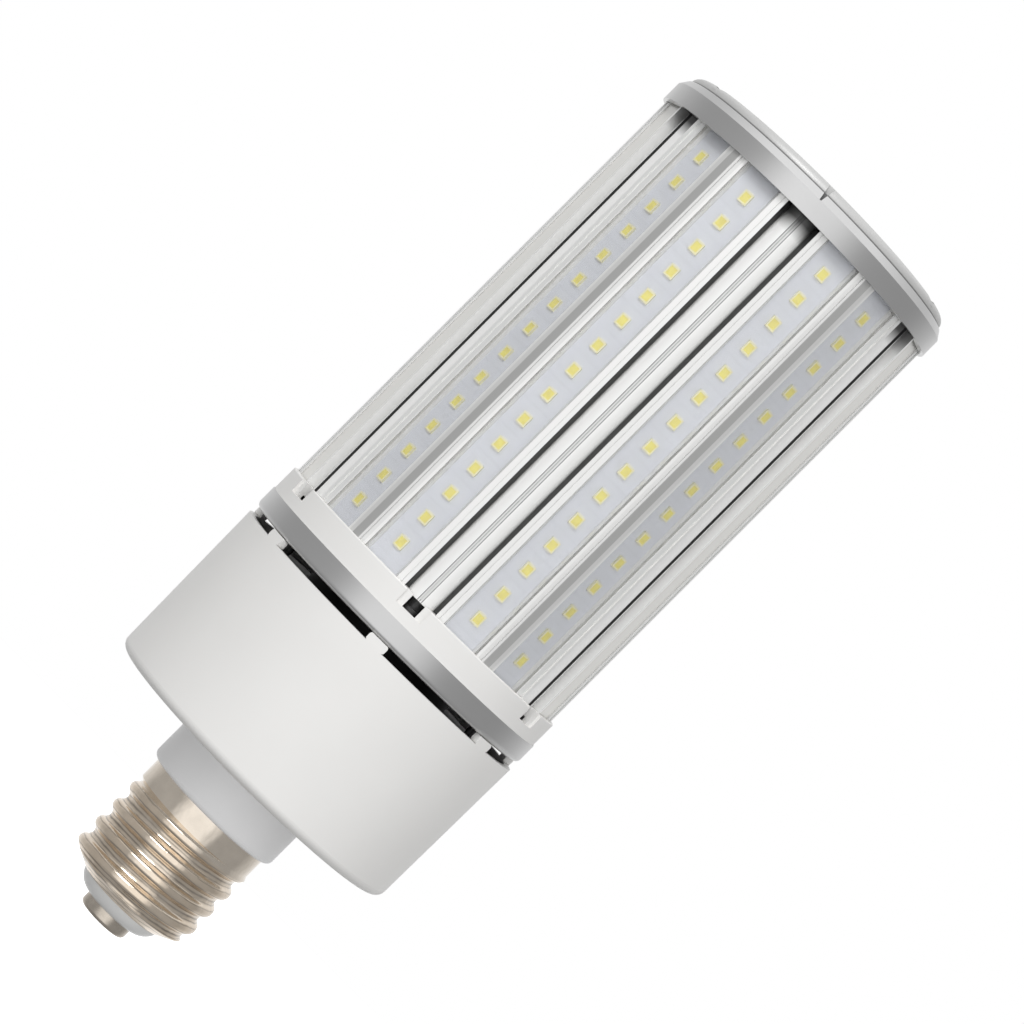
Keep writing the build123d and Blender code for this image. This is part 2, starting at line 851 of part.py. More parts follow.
# Heat sink: one extrusion. Each module has two facets, so each feature of a facet
# is placed by two hands, one either side of its slot.
inner_facet_radius = pocket_n - back_wall
slot_inner_radius = slot_floor_radius - slot_floor_wall
slot_outer_length = corner_radius - slot_inner_radius
corner_fin_end = (inner_facet_radius + corner_radius) / 2 - slot_side_wall / 2
side_fin_end = pocket_n - back_wall / 2
corner_fin_start = front + module_angle / 2
strip_lead_z = link_z + strip_lead_diameter / 2

with BuildPart() as heat_sink:
    with BuildSketch(Plane.XY.offset(sink_z)) as sink_section:
        sink_outline(0)
        with PolarLocations(channel_radius, module_count, start_angle=front):
            Circle(channel_bore / 2, mode=Mode.SUBTRACT)
        with PolarLocations(channel_radius + slot_width / 2, module_count, start_angle=front):
            Rectangle(slot_width, channel_slit, mode=Mode.SUBTRACT)
        with BuildSketch(mode=Mode.PRIVATE) as sink_void:
            RegularPolygon(
                inner_facet_radius, 2 * module_count, major_radius=False, rotation=front
            )
            with PolarLocations(
                slot_inner_radius + slot_outer_length / 2, module_count, start_angle=front
            ):
                Rectangle(
                    slot_outer_length, slot_width + 2 * slot_side_wall, mode=Mode.SUBTRACT
                )
            with PolarLocations(
                (fin_tip_radius + corner_fin_end) / 2, module_count, start_angle=corner_fin_start
            ):
                Rectangle(corner_fin_end - fin_tip_radius, fin_thickness, mode=Mode.SUBTRACT)
            for hand in (1, -1):
                with PolarLocations(0, module_count, start_angle=front + hand * facet_angle):
                    with Locations(
                        ((fin_tip_radius + side_fin_end) / 2, -hand * side_fin_offset)
                    ):
                        Rectangle(
                            side_fin_end - fin_tip_radius, fin_thickness, mode=Mode.SUBTRACT
                        )
        add(sink_void.sketch, mode=Mode.SUBTRACT)
        for hand in (1, -1):
            with PolarLocations(0, module_count, start_angle=front + hand * facet_angle):
                Polygon(
                    *[(depth, hand * offset) for depth, offset in channel_outline],
                    align=None,
                    mode=Mode.SUBTRACT,
                )
    extrude(amount=sink_length)


def facet_plane(index, depth, height):
    """A plane on a facet, centred on its light line: X towards the module's middle."""
    slot, hand = divmod(index, 2)
    hand = 1 - 2 * hand
    angle = radians(front + slot * module_angle + hand * facet_angle)
    normal = Vector(cos(angle), sin(angle), 0)
    towards_middle = Vector(-sin(angle), cos(angle), 0) * hand
    origin = normal * depth + towards_middle * led_line_offset + Vector(0, 0, height)
    return Plane(origin=origin, x_dir=towards_middle, z_dir=normal)


with BuildPart(mode=Mode.PRIVATE) as strip_lead_holes:
    for index in range(2 * module_count):
        with BuildSketch(facet_plane(index, strip_lead_start, strip_lead_z)):
            Circle(strip_lead_hole / 2)
        extrude(amount=pocket_n + fit - strip_lead_start)

with heat_sink:
    add(strip_lead_holes.part, mode=Mode.SUBTRACT)
save(heat_sink, "heat_sink")

# Boards, their rows of packages and their clear covers, one set for each facet
led_pitch = (body_length - 2 * led_end_margin) / (led_count - 1)
cover_width = 2 * (mouth_half + cover_lap) - 2 * fit
strip_length = sink_length - fit

for index in range(2 * module_count):
    strip = index + 1
    with BuildPart() as led_board:
        with BuildSketch(facet_plane(index, pocket_n, sink_mid_z - fit / 2)):
            Rectangle(led_board_width, strip_length)
        extrude(amount=led_board_thickness)
    save(led_board, f"led_board_{strip:02d}")
    with BuildPart() as led_row:
        with BuildSketch(facet_plane(index, board_face_n, sink_mid_z)):
            with GridLocations(led_width, led_pitch, 1, led_count):
                Rectangle(led_width, led_length)
        extrude(amount=led_height)
    save(led_row, f"led_row_{strip:02d}")
    with BuildPart() as cover_strip:
        with BuildSketch(facet_plane(index, cover_n, sink_mid_z - fit / 2)):
            Rectangle(cover_width, strip_length)
        extrude(amount=cover_thickness)
    save(cover_strip, f"cover_strip_{strip:02d}")

# Link ring on the crown's plate, and a lead from it to the back of each board
with BuildPart() as link_ring:
    with BuildSketch(Plane.XY.offset(sink_z)):
        Circle(link_ring_radius)
        Circle(link_ring_bore / 2, mode=Mode.SUBTRACT)
    extrude(amount=link_ring_thickness)
save(link_ring, "link_ring")

with BuildPart() as strip_leads:
    for index in range(2 * module_count):
        with BuildSketch(facet_plane(index, strip_lead_start, strip_lead_z)):
            Circle(strip_lead_diameter / 2)
        extrude(amount=pocket_n - strip_lead_start)
save(strip_leads, "strip_leads")

# Gasket over the sink's top end: its underside closes the slots
with BuildPart() as upper_gasket:
    with BuildSketch(Plane.XY.offset(sink_top_z)):
        facet_outline(0)
        Circle(end_bore_radius, mode=Mode.SUBTRACT)
        with PolarLocations(channel_radius, lid_screw_count, start_angle=lid_screw_start):
            Circle(channel_bore / 2, mode=Mode.SUBTRACT)
    extrude(amount=gasket_thickness)
save(upper_gasket, "upper_gasket")

# A wedge that cuts the keyways in the rims of the cap ring and the lid
with BuildPart() as key_wedge:
    with BuildSketch(Plane.XZ.offset(cap_radius - key_depth)):
        with BuildLine():
            Polyline(
                (-key_foot_width / 2, band_top_z),
                (key_foot_width / 2, band_top_z),
                (key_width / 2, lid_top_z),
                (-key_width / 2, lid_top_z),
                close=True,
            )
        make_face()
    extrude(amount=key_depth + overcut)

# Cap ring: the band round the top end, with a flange on the gasket
rebate_radius = cap_radius - cap_chamfer_width - cap_edge
cap_rim_z = band_top_z + cap_chamfer_height

with BuildPart() as cap_ring:
    with BuildSketch(Plane.XZ):
        with BuildLine():
            Polyline(
                (end_bore_radius, cap_z),
                (cap_radius, cap_z),
                (cap_radius, band_top_z),
                (cap_radius - cap_chamfer_width, cap_rim_z),
                (rebate_radius, cap_rim_z),
                (rebate_radius, flange_top_z),
                (end_bore_radius, flange_top_z),
                close=True,
            )
        make_face()
    revolve(axis=Axis.Z)
    with BuildSketch(Plane.XY.offset(gasket_top_z)):
        facet_outline(seat_clearance)
    extrude(amount=cap_z - overcut - gasket_top_z, mode=Mode.SUBTRACT)
    with BuildSketch(Plane.XY.offset(gasket_top_z)):
        with PolarLocations(channel_radius, lid_screw_count, start_angle=lid_screw_start):
            Circle(channel_bore / 2)
    extrude(amount=cap_flange, mode=Mode.SUBTRACT)
    with PolarLocations(0, key_count):
        add(key_wedge.part, mode=Mode.SUBTRACT)
save(cap_ring, "cap_ring")

# Lid: a shallow cap with a boss and a head pocket for each of its screws
lid_radius = rebate_radius - lid_gap
lid_under_z = lid_top_z - lid_plate
pocket_depth = screw_head_height + head_recess
under_head_z = lid_top_z - pocket_depth

with BuildPart() as top_lid:
    with BuildSketch(Plane.XZ):
        with BuildLine():
            Polyline(
                (0, lid_under_z),
                (lid_radius - lid_skirt, lid_under_z),
                (lid_radius - lid_skirt, flange_top_z),
                (lid_radius, flange_top_z),
                (lid_radius, lid_top_z),
                (0, lid_top_z),
                close=True,
            )
        make_face()
    revolve(axis=Axis.Z)
    fillet(rings_at(top_lid, lid_top_z), lid_round)
    with BuildSketch(Plane.XY.offset(flange_top_z)):
        with PolarLocations(channel_radius, lid_screw_count, start_angle=lid_screw_start):
            Circle(head_pocket / 2 + lid_boss_wall)
    extrude(amount=lid_under_z - flange_top_z + overcut)
    with BuildSketch(Plane.XY.offset(flange_top_z)):
        with PolarLocations(channel_radius, lid_screw_count, start_angle=lid_screw_start):
            Circle(channel_bore / 2)
    extrude(amount=lid_height, mode=Mode.SUBTRACT)
    with BuildSketch(Plane.XY.offset(lid_top_z)):
        with PolarLocations(channel_radius, lid_screw_count, start_angle=lid_screw_start):
            Circle(head_pocket / 2)
    extrude(amount=-pocket_depth, mode=Mode.SUBTRACT)
    with PolarLocations(0, key_count):
        add(key_wedge.part, mode=Mode.SUBTRACT)
save(top_lid, "top_lid")

# End screws: three hold the lid and the cap ring, and six hold the crown
with BuildPart() as end_screw:
    with BuildSketch():
        Circle(screw_head / 2)
    extrude(amount=screw_head_height)
    chamfer(rings_at(end_screw, screw_head_height), screw_head_edge)
    with BuildSketch():
        Circle(screw_diameter / 2)
    extrude(amount=-screw_length)

with BuildPart() as end_screws:
    with Locations((0, 0, under_head_z)):
        with PolarLocations(channel_radius, lid_screw_count, start_angle=lid_screw_start):
            add(end_screw.part)
    with Locations(Location((0, 0, crown_plate_z), (180, 0, 0))):
        with PolarLocations(channel_radius, module_count, start_angle=front):
            add(end_screw.part)
save(end_screws, "end_screws")
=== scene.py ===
"""Looks of a twelve-sided board lamp with a large screw base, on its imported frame."""

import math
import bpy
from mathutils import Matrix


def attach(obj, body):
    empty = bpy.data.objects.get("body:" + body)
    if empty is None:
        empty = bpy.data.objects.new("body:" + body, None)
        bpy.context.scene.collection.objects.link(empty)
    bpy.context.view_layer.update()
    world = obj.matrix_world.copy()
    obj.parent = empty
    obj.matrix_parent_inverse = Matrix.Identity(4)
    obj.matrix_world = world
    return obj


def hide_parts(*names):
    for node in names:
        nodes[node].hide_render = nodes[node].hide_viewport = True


bl_info = {
    "name": "Corn Lamp Looks",
    "version": (1, 0, 0),
    "blender": (4, 5, 0),
    "location": "View3D > Sidebar > Corn Lamp",
    "description": "Finishes, light packages and studio for a slotted board lamp",
    "category": "Object",
}

import bpy
from bpy.props import (
    FloatProperty,
    FloatVectorProperty,
    IntProperty,
    PointerProperty,
)
from bpy.types import Operator, Panel, PropertyGroup
from mathutils import Matrix, Vector

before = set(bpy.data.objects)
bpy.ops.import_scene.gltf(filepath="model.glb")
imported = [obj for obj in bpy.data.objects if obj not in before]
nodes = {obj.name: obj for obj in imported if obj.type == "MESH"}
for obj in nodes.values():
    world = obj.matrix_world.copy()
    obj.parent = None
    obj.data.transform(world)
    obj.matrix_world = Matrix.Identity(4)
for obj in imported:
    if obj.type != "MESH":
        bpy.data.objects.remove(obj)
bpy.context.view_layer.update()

BODY = "root"
MM = 0.001
SLOT_COUNT = 6
FACETS = [f"{number:02d}" for number in range(1, 2 * SLOT_COUNT + 1)]
SLOT_ANGLE = math.radians(360 / SLOT_COUNT)
FACET_ANGLE = SLOT_ANGLE / 4
FRONT = math.radians(-90)
# Where most of a noise pattern's values lie
NOISE_LOW, NOISE_HIGH = 0.3, 0.7
FLOOR_HALF_WIDTH = 0.9
# Each soft light's way from the point the camera aims at, its width and its height
KEY_LIGHT = ((-0.45, -0.95, 0.85), 0.7, 0.5)
FILL_LIGHT = ((0.9, -0.8, 0.2), 1.2, 1.0)
# Brightness of the room by bearing from the camera's side, in degrees
ROOM_ROUND = (
    (-180.0, 1.0),
    (-140.0, 0.66),
    (-105.0, 0.38),
    (-45.0, 0.40),
    (-22.0, 1.0),
    (20.0, 1.0),
    (42.0, 0.36),
    (105.0, 0.34),
    (140.0, 0.66),
    (180.0, 1.0),
)
# Upward share of a direction where the room changes, where it has changed, brightness
ROOM_ALOFT = (0.55, 0.9, 1.05)
ROOM_BELOW = (-0.45, -0.8, 0.30)
# Heights over which the dark screw heads end, dark as painted shade in the crown's
# ports, and the bright zinc above them
SCREW_CHANGE = (119.9 * MM, 120.3 * MM)
BRIGHT_ZINC = (0.80, 0.80, 0.79)
# Heights over which the joint at the lid's foot ends, and the painted shade in it
LID_JOINT = (263.9 * MM, 264.2 * MM)
JOINT_SHADE = (0.22, 0.22, 0.22)
# Brightness across a facet, painted light and shade: the rim kept bright as a painted
# highlight, the lip a little darker, and painted shade in the corner groove
CORNER_REACH = (8.0 * MM, 12.5 * MM)
CORNER_SHADE_BANDS = (
    (0.0, 1.0),
    (0.24, 1.0),
    (0.29, 0.88),
    (0.62, 0.86),
    (0.68, 0.52),
    (1.0, 0.52),
)
# Brightness off the middle of a slot, with black painted shade on the walls beside the
# sunken lips
SLIT_REACH = (0.0, 1.0 * MM)
SLIT_SHADE_BANDS = (
    (0.0, 1.0),
    (0.61, 1.0),
    (0.65, 0.0),
    (0.75, 0.0),
    (0.79, 1.0),
    (1.0, 1.0),
)
# A slot's sides off its middle, the distance from the axis over which its painted shade
# fades to full light, the height over which painted shade grows dark under the cap, its
# least brightness in depth and at its top, the darkest colour of the painted shade, and
# how metallic the heat sink is outside and in a slot
SLOT_SIDE = (5.45 * MM, 5.6 * MM)
SLOT_DEPTH = (37.0 * MM, 42.6 * MM)
SLOT_TOP = (250.0 * MM, 254.5 * MM)
DEEP_LIGHT = 0.26
TOP_LIGHT = 0.05
SLOT_SHADE = (0.05, 0.05, 0.05)
FACET_METAL = 0.45
SLOT_METAL = 0.2
# Brightness painted from a crest of the thread to the root beside it: the crest kept
# bright as a painted highlight, painted shade in the root, and thin dark lines of
# painted shade
THREAD_SHADE_BANDS = (
    (0.0, 1.0),
    (0.12, 1.0),
    (0.16, 0.4),
    (0.20, 1.0),
    (0.30, 1.0),
    (0.34, 0.35),
    (0.38, 0.95),
    (0.44, 0.85),
    (0.5, 0.2),
)
THREAD_SHADE_TINT = (1.0, 0.94, 0.87)
# How much the thread's painted shade shifts with the noise, and how faint the noise
# lets it grow in patches
THREAD_SHAKE = 0.05
THREAD_SHADE_LEAST = 0.35
# Width over which the thread's painted shade fades at its end
THREAD_FADE = 0.6 * MM
# Half the gap between two pads of a board, with a soft edge, and its brightness
PAD_GAP = (0.25 * MM, 0.45 * MM)
PAD_GAP_LIGHT = 0.93
# Share of a clear cover seen edge on where its pale band of painted reflection starts
# and ends, and the band
COVER_EDGE = (0.40, 0.70)
COVER_REFLECTION_BAND = 0.96
# Width of the solder against the package, and how far outward a package's top faces
SOLDER_SHARE = 0.7
OUTER_FACE = 0.9


# Sizes and colours that a user would change


def length(name, description, millimetres):
    return FloatProperty(
        name=name, description=description, default=millimetres * MM, unit="LENGTH"
    )


def colour(name, description, rgb):
    return FloatVectorProperty(
        name=name,
        description=description,
        default=rgb,
        size=3,
        min=0.0,
        max=1.0,
        subtype="COLOR",
    )


class PackageSettings(PropertyGroup):
    count: IntProperty(
        name="Packages", description="Light packages on each board", default=15
    )
    pitch: length("Pitch", "Distance from one package to the next", 8.75)
    mid_height: length("Middle height", "Height of the middle package", 188.0)
    board_radius: length("Board radius", "Distance of the boards from the axis", 43.2)
    line_shift: length("Line shift", "Sideways shift of the row on its board", 2.5)
    long_side: length("Long side", "Package size along the board", 3.5)
    short_side: length("Short side", "Package size across the board", 2.8)
    rise: length("Rise", "Height of a package over its board", 0.7)
    recess: length("Recess", "Depth of the window below the rim", 0.12)
    window_share: FloatProperty(
        name="Window share",
        description="Size of the window against the package",
        default=0.72,
        subtype="FACTOR",
    )
    solder_reach: length("Solder reach", "Solder seen past each end of a package", 0.4)
    solder_rise: length("Solder rise", "Height of the solder over the board", 0.14)


class ThreadSettings(PropertyGroup):
    pitch: length("Pitch", "Rise of the thread in one turn", 6.35)
    crest_height: length("Crest height", "Height of a crest at the right side", 27.9)
    run_out: length("Run-out", "Height where the thread ends below the skirt", 33.4)


class SlitSettings(PropertyGroup):
    half_width: length("Half width", "Half the slit between the lips", 0.06)
    lip_width: length("Lip width", "Width of each lip", 0.64)
    lip_depth: length("Lip depth", "Depth of each lip into the channel", 1.2)
    radius: length("Radius", "Distance of the lips' faces from the axis", 44.06)
    foot: length("Foot", "Height of the lips' lower ends", 119.4)
    head: length("Head", "Height of the lips' upper ends", 256.6)


class FinishSettings(PropertyGroup):
    moulding: colour("White moulding", "Housing and crown", (0.835, 0.828, 0.812))
    collar: colour("Collar", "Neck between shell and housing", (0.92, 0.92, 0.925))
    glaze: colour("Insulator", "White nose of the base", (0.80, 0.80, 0.79))
    aluminium: colour("Aluminium", "Heat sink", (0.95, 0.95, 0.94))
    trim: colour("Silver trim", "Both end rings", (0.66, 0.66, 0.66))
    lid: colour("Lid", "Closing lid", (0.56, 0.56, 0.555))
    nickel: colour("Nickel", "Screw shell", (0.90, 0.81, 0.70))
    mask: colour("Board", "White mask of the boards", (0.81, 0.83, 0.885))
    phosphor: colour("Phosphor", "Windows of the packages", (0.95, 0.84, 0.16))
    cover_haze: FloatProperty(
        name="Cover haze",
        description="How much the clear covers veil the boards",
        default=0.12,
        subtype="FACTOR",
    )


class StudioSettings(PropertyGroup):
    distance: length("Distance", "From the lamp's axis to the camera", 1081.0)
    camera_height: length("Camera height", "Height of the camera", 156.8)
    aim_side: length("Aim side", "Sideways place of the picture's middle", 0.68)
    aim_height: length("Aim height", "Height of the picture's middle", 151.6)
    roll: FloatProperty(
        name="Roll",
        description="Turn of the camera about its line of sight",
        default=math.radians(-45),
        subtype="ANGLE",
    )
    lens: FloatProperty(
        name="Lens", description="Focal length in millimetres", default=145.2
    )
    room: FloatProperty(
        name="Room", description="Brightness of the room in front", default=1.0
    )
    key_power: FloatProperty(
        name="Key light", description="Power of the key light in watts", default=6.0
    )
    fill_power: FloatProperty(
        name="Fill light", description="Power of the fill light in watts", default=3.0
    )
    floor_height: length("Floor height", "Height of the floor", -70.0)


# Node tools


def add_node(tree, kind, **settings):
    node = tree.nodes.new(kind)
    for name, value in settings.items():
        setattr(node, name, value)
    return node


def link(tree, source, target):
    tree.links.new(source, target)


def coordinates(tree, stretch):
    """Object coordinates, scaled so that a pattern runs in the wanted direction."""
    place = add_node(tree, "ShaderNodeTexCoord")
    mapping = add_node(tree, "ShaderNodeMapping")
    mapping.inputs["Scale"].default_value = stretch
    link(tree, place.outputs["Object"], mapping.inputs["Vector"])
    return mapping.outputs["Vector"]


def noise(tree, vector, scale, detail=3.0):
    texture = add_node(tree, "ShaderNodeTexNoise")
    texture.inputs["Scale"].default_value = scale
    texture.inputs["Detail"].default_value = detail
    texture.inputs["Roughness"].default_value = 0.55
    link(tree, vector, texture.inputs["Vector"])
    return texture.outputs["Fac"]


def ramp(tree, value, stops):
    node = add_node(tree, "ShaderNodeValToRGB")
    elements = node.color_ramp.elements
    while len(elements) < len(stops):
        elements.new(0.5)
    for element, (place, rgb) in zip(elements, stops):
        element.position = place
        element.color = (*rgb, 1.0)
    link(tree, value, node.inputs["Fac"])
    return node.outputs["Color"]


def span(tree, value, low, high, start=NOISE_LOW, end=NOISE_HIGH):
    node = add_node(tree, "ShaderNodeMapRange")
    node.inputs["From Min"].default_value = start
    node.inputs["From Max"].default_value = end
    node.inputs["To Min"].default_value = low
    node.inputs["To Max"].default_value = high
    link(tree, value, node.inputs["Value"])
    return node.outputs["Result"]


def shade(rgb, factor):
    return tuple(min(1.0, channel * factor) for channel in rgb)


def greys(bands):
    return [(place, (value,) * 3) for place, value in bands]


def maths(tree, operation, *values):
    """A math node's output, from numbers or other nodes' outputs."""
    node = add_node(tree, "ShaderNodeMath", operation=operation)
    for socket, value in zip(node.inputs, values):
        if isinstance(value, (int, float)):
            socket.default_value = value
        else:
            link(tree, value, socket)
    return node.outputs["Value"]


def axis_distance(tree):
    """The output with the distance of a place from the lamp's axis."""
    reach = add_node(tree, "ShaderNodeVectorMath", operation="LENGTH")
    link(tree, coordinates(tree, (1.0, 1.0, 0.0)), reach.inputs[0])
    return reach.outputs["Value"]


def object_axes(tree):
    """The outputs X, Y and Z of a place on the object."""
    place = add_node(tree, "ShaderNodeTexCoord")
    axes = add_node(tree, "ShaderNodeSeparateXYZ")
    link(tree, place.outputs["Object"], axes.inputs["Vector"])
    return axes.outputs


def base_colour(tree):
    """The output that feeds the shader's base colour now."""
    return tree.nodes["Principled BSDF"].inputs["Base Color"].links[0].from_socket


def paint(tree, factor, under, over, blend_type="MIX"):
    """Mixes two colours, and feeds the shader's base colour with the result."""
    node = add_node(tree, "ShaderNodeMix", data_type="RGBA", blend_type=blend_type)
    for name, value in (("Factor", factor), ("A", under), ("B", over)):
        if isinstance(value, float):
            node.inputs[name].default_value = value
        elif isinstance(value, tuple):
            node.inputs[name].default_value = (*value, 1.0)
        else:
            link(tree, value, node.inputs[name])
    shader = tree.nodes["Principled BSDF"]
    link(tree, node.outputs["Result"], shader.inputs["Base Color"])


def finish_material(
    name,
    rgb,
    roughness,
    metallic=0.0,
    variation=0.04,
    roughness_spread=0.06,
    pattern_scale=60.0,
    stretch=(1.0, 1.0, 1.0),
    bump=0.05,
    bump_depth=0.05,
    bump_scale=900.0,
    bump_stretch=None,
    **shader_values,
):
    """A finish with soft colour variation, uneven gloss and a fine surface grain."""
    material = bpy.data.materials.new(name)
    material.use_nodes = True
    tree = material.node_tree
    shader = tree.nodes["Principled BSDF"]
    shader.inputs["Metallic"].default_value = metallic
    for socket, value in shader_values.items():
        shader.inputs[socket.replace("_", " ")].default_value = value
    cloud = noise(tree, coordinates(tree, stretch), pattern_scale)
    darker, lighter = shade(rgb, 1.0 - variation), shade(rgb, 1.0 + variation)
    tones = ramp(tree, cloud, [(NOISE_LOW, darker), (NOISE_HIGH, lighter)])
    link(tree, tones, shader.inputs["Base Color"])
    dull, bright = roughness + roughness_spread, roughness - roughness_spread
    link(tree, span(tree, cloud, dull, bright), shader.inputs["Roughness"])
    place = coordinates(tree, bump_stretch or stretch)
    grain = noise(tree, place, bump_scale, detail=2.0)
    bumps = add_node(tree, "ShaderNodeBump")
    bumps.inputs["Strength"].default_value = bump
    bumps.inputs["Distance"].default_value = bump_depth * MM
    link(tree, grain, bumps.inputs["Height"])
    link(tree, bumps.outputs["Normal"], shader.inputs["Normal"])
    return material


def geometry_tree(name, inputs):
    """A node group with the named inputs, as (tree, input node, output node)."""
    tree = bpy.data.node_groups.new(name, "GeometryNodeTree")
    tree.is_modifier = True
    tree.interface.new_socket(
        name="Geometry", in_out="OUTPUT", socket_type="NodeSocketGeometry"
    )
    for label, kind in inputs.items():
        tree.interface.new_socket(name=label, in_out="INPUT", socket_type=kind)
    return tree, add_node(tree, "NodeGroupInput"), add_node(tree, "NodeGroupOutput")


def grow(name, tree, values):
    """Runs a geometry tree with these inputs, and keeps the result as a plain mesh."""
    holder = bpy.data.objects.new(name + "_holder", bpy.data.meshes.new(name + "_seed"))
    bpy.context.scene.collection.objects.link(holder)
    modifier = holder.modifiers.new("Build", "NODES")
    modifier.node_group = tree
    for item in tree.interface.items_tree:
        if item.item_type == "SOCKET" and item.name in values:
            modifier[item.identifier] = values[item.name]
    bpy.context.view_layer.update()
    graph = bpy.context.evaluated_depsgraph_get()
    mesh = bpy.data.meshes.new_from_object(holder.evaluated_get(graph))
    mesh.name = name
    holder.modifiers.remove(modifier)
    bpy.data.objects.remove(holder)
    piece = bpy.data.objects.new(name, mesh)
    bpy.context.scene.collection.objects.link(piece)
    return piece


def stand_for(piece, node):
    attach(piece, BODY)
    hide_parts(node)


def dress(names, material):
    for name in names:
        slots = nodes[name].data.materials
        slots.clear()
        slots.append(material)


def facet_places():
    """Each facet's name, its angle round the axis and the side of its row's shift."""
    for index, name in enumerate(FACETS):
        slot, second = divmod(index, 2)
        hand = 1 - 2 * second
        yield name, FRONT + slot * SLOT_ANGLE + hand * FACET_ANGLE, hand


# Materials


def board_material(rgb, package):
    """White mask over copper: faint pads and gaps that repeat with the packages."""
    material = finish_material(
        "board_mask", rgb, 0.32, variation=0.02, pattern_scale=160.0, bump=0.05
    )
    tree = material.node_tree
    start = package.mid_height - package.pitch / 2
    shift = maths(tree, "SUBTRACT", object_axes(tree)["Z"], start)
    period = maths(tree, "PINGPONG", shift, package.pitch / 2)
    gap = span(tree, period, 0.0, 1.0, *PAD_GAP)
    lines = ramp(tree, gap, [(0.0, shade(rgb, PAD_GAP_LIGHT)), (1.0, rgb)])
    paint(tree, 0.5, base_colour(tree), lines, "MULTIPLY")
    return material


def screw_material():
    """Near-black zinc as painted shade on the crown's screw heads deep in their ports,
    and bright zinc on all that lies above.
    """
    material = finish_material(
        "zinc_with_painted_shade_heads",
        (0.07, 0.07, 0.07),
        0.42,
        metallic=0.7,
        variation=0.15,
        pattern_scale=400.0,
    )
    tree = material.node_tree
    # Below this height the colour is painted shade, so the ports over the screw heads
    # look black
    above = span(tree, object_axes(tree)["Z"], 0.0, 1.0, *SCREW_CHANGE)
    paint(tree, above, base_colour(tree), BRIGHT_ZINC)
    return material


def cover_material(haze):
    """Clear sheet: see-through from the front, and a pale band of painted reflection
    when seen edge on.
    """
    material = finish_material(
        "clear_sheet",
        (0.86, 0.85, 0.81),
        0.08,
        variation=0.02,
        roughness_spread=0.02,
        pattern_scale=25.0,
        bump=0.02,
        bump_depth=0.001,
        IOR=1.49,
    )
    tree = material.node_tree
    # The pale band seen edge on is painted reflection, its opacity rising with the
    # angle
    facing = add_node(tree, "ShaderNodeLayerWeight")
    facing.inputs["Blend"].default_value = 0.5
    veil = span(tree, facing.outputs["Facing"], haze, COVER_REFLECTION_BAND, *COVER_EDGE)
    link(tree, veil, tree.nodes["Principled BSDF"].inputs["Alpha"])
    return material


def shell_material(rgb, thread):
    """Nickel plate with broken bands of painted highlight and painted shade, which
    follow the thread's helix.
    """
    material = finish_material(
        "nickel_plate",
        rgb,
        0.12,
        metallic=1.0,
        variation=0.08,
        roughness_spread=0.05,
        pattern_scale=140.0,
        bump=0.6,
        bump_depth=0.25,
        bump_scale=230.0,
        bump_stretch=(1.0, 1.0, 0.6),
    )
    tree = material.node_tree
    axes = object_axes(tree)
    angle = maths(tree, "ARCTAN2", axes["Y"], axes["X"])
    turn = span(tree, angle, 0.5, -0.5, -math.pi, math.pi)
    turns = 10.0
    reach = turns * thread.pitch
    low, high = thread.crest_height - reach, thread.crest_height + reach
    rise = span(tree, axes["Z"], -turns, turns, low, high)
    shake = noise(tree, coordinates(tree, (1.0, 1.0, 2.0)), scale=75.0)
    phase = maths(tree, "ADD", turn, rise)
    drift = span(tree, shake, -THREAD_SHAKE, THREAD_SHAKE)
    share = maths(tree, "ADD", phase, drift)
    # Painted highlight on the crests and painted shade in the roots, along the helix
    marks = ramp(tree, maths(tree, "FRACT", share), thread_shade_marks())
    end = thread.run_out
    threaded = span(tree, axes["Z"], 1.0, 0.0, end - THREAD_FADE, end)
    # Noise that makes the painted shade fainter in patches
    shade_patches = noise(tree, coordinates(tree, (1.0, 1.0, 1.0)), scale=110.0)
    strength = maths(tree, "MULTIPLY", threaded, span(tree, shade_patches, THREAD_SHADE_LEAST, 1.0))
    paint(tree, strength, base_colour(tree), marks, "MULTIPLY")
    return material


def thread_shade_marks():
    """Warm grey painted shade from one crest of the thread over the root to the next
    crest, the crest left as a painted highlight.
    """
    back = [(1.0 - place, value) for place, value in THREAD_SHADE_BANDS[-2::-1]]
    bands = [*THREAD_SHADE_BANDS, *back]
    return [(place, shade(THREAD_SHADE_TINT, value)) for place, value in bands]


class LAMP_OT_base(Operator):
    """Finish the screw base: contact, insulator, threaded shell and collar"""

    bl_idname = "corn_lamp.base"
    bl_label = "Screw base"

    def execute(self, context):
        finish = context.scene.lamp_finish
        nickel = shell_material(finish.nickel, context.scene.lamp_thread)
        tip = finish_material(
            "tinned_contact",
            shade(finish.nickel, 0.70),
            0.24,
            metallic=1.0,
            variation=0.12,
            pattern_scale=320.0,
            bump=0.12,
            bump_scale=500.0,
        )
        glaze = finish_material(
            "glazed_white",
            finish.glaze,
            0.22,
            variation=0.02,
            bump=0.04,
            Coat_Weight=0.25,
        )
        collar = finish_material(
            "collar_white", finish.collar, 0.34, variation=0.015, bump=0.06
        )
        dress(["screw_shell"], nickel)
        dress(["centre_contact"], tip)
        dress(["base_insulator"], glaze)
        dress(["base_collar"], collar)
        return {"FINISHED"}


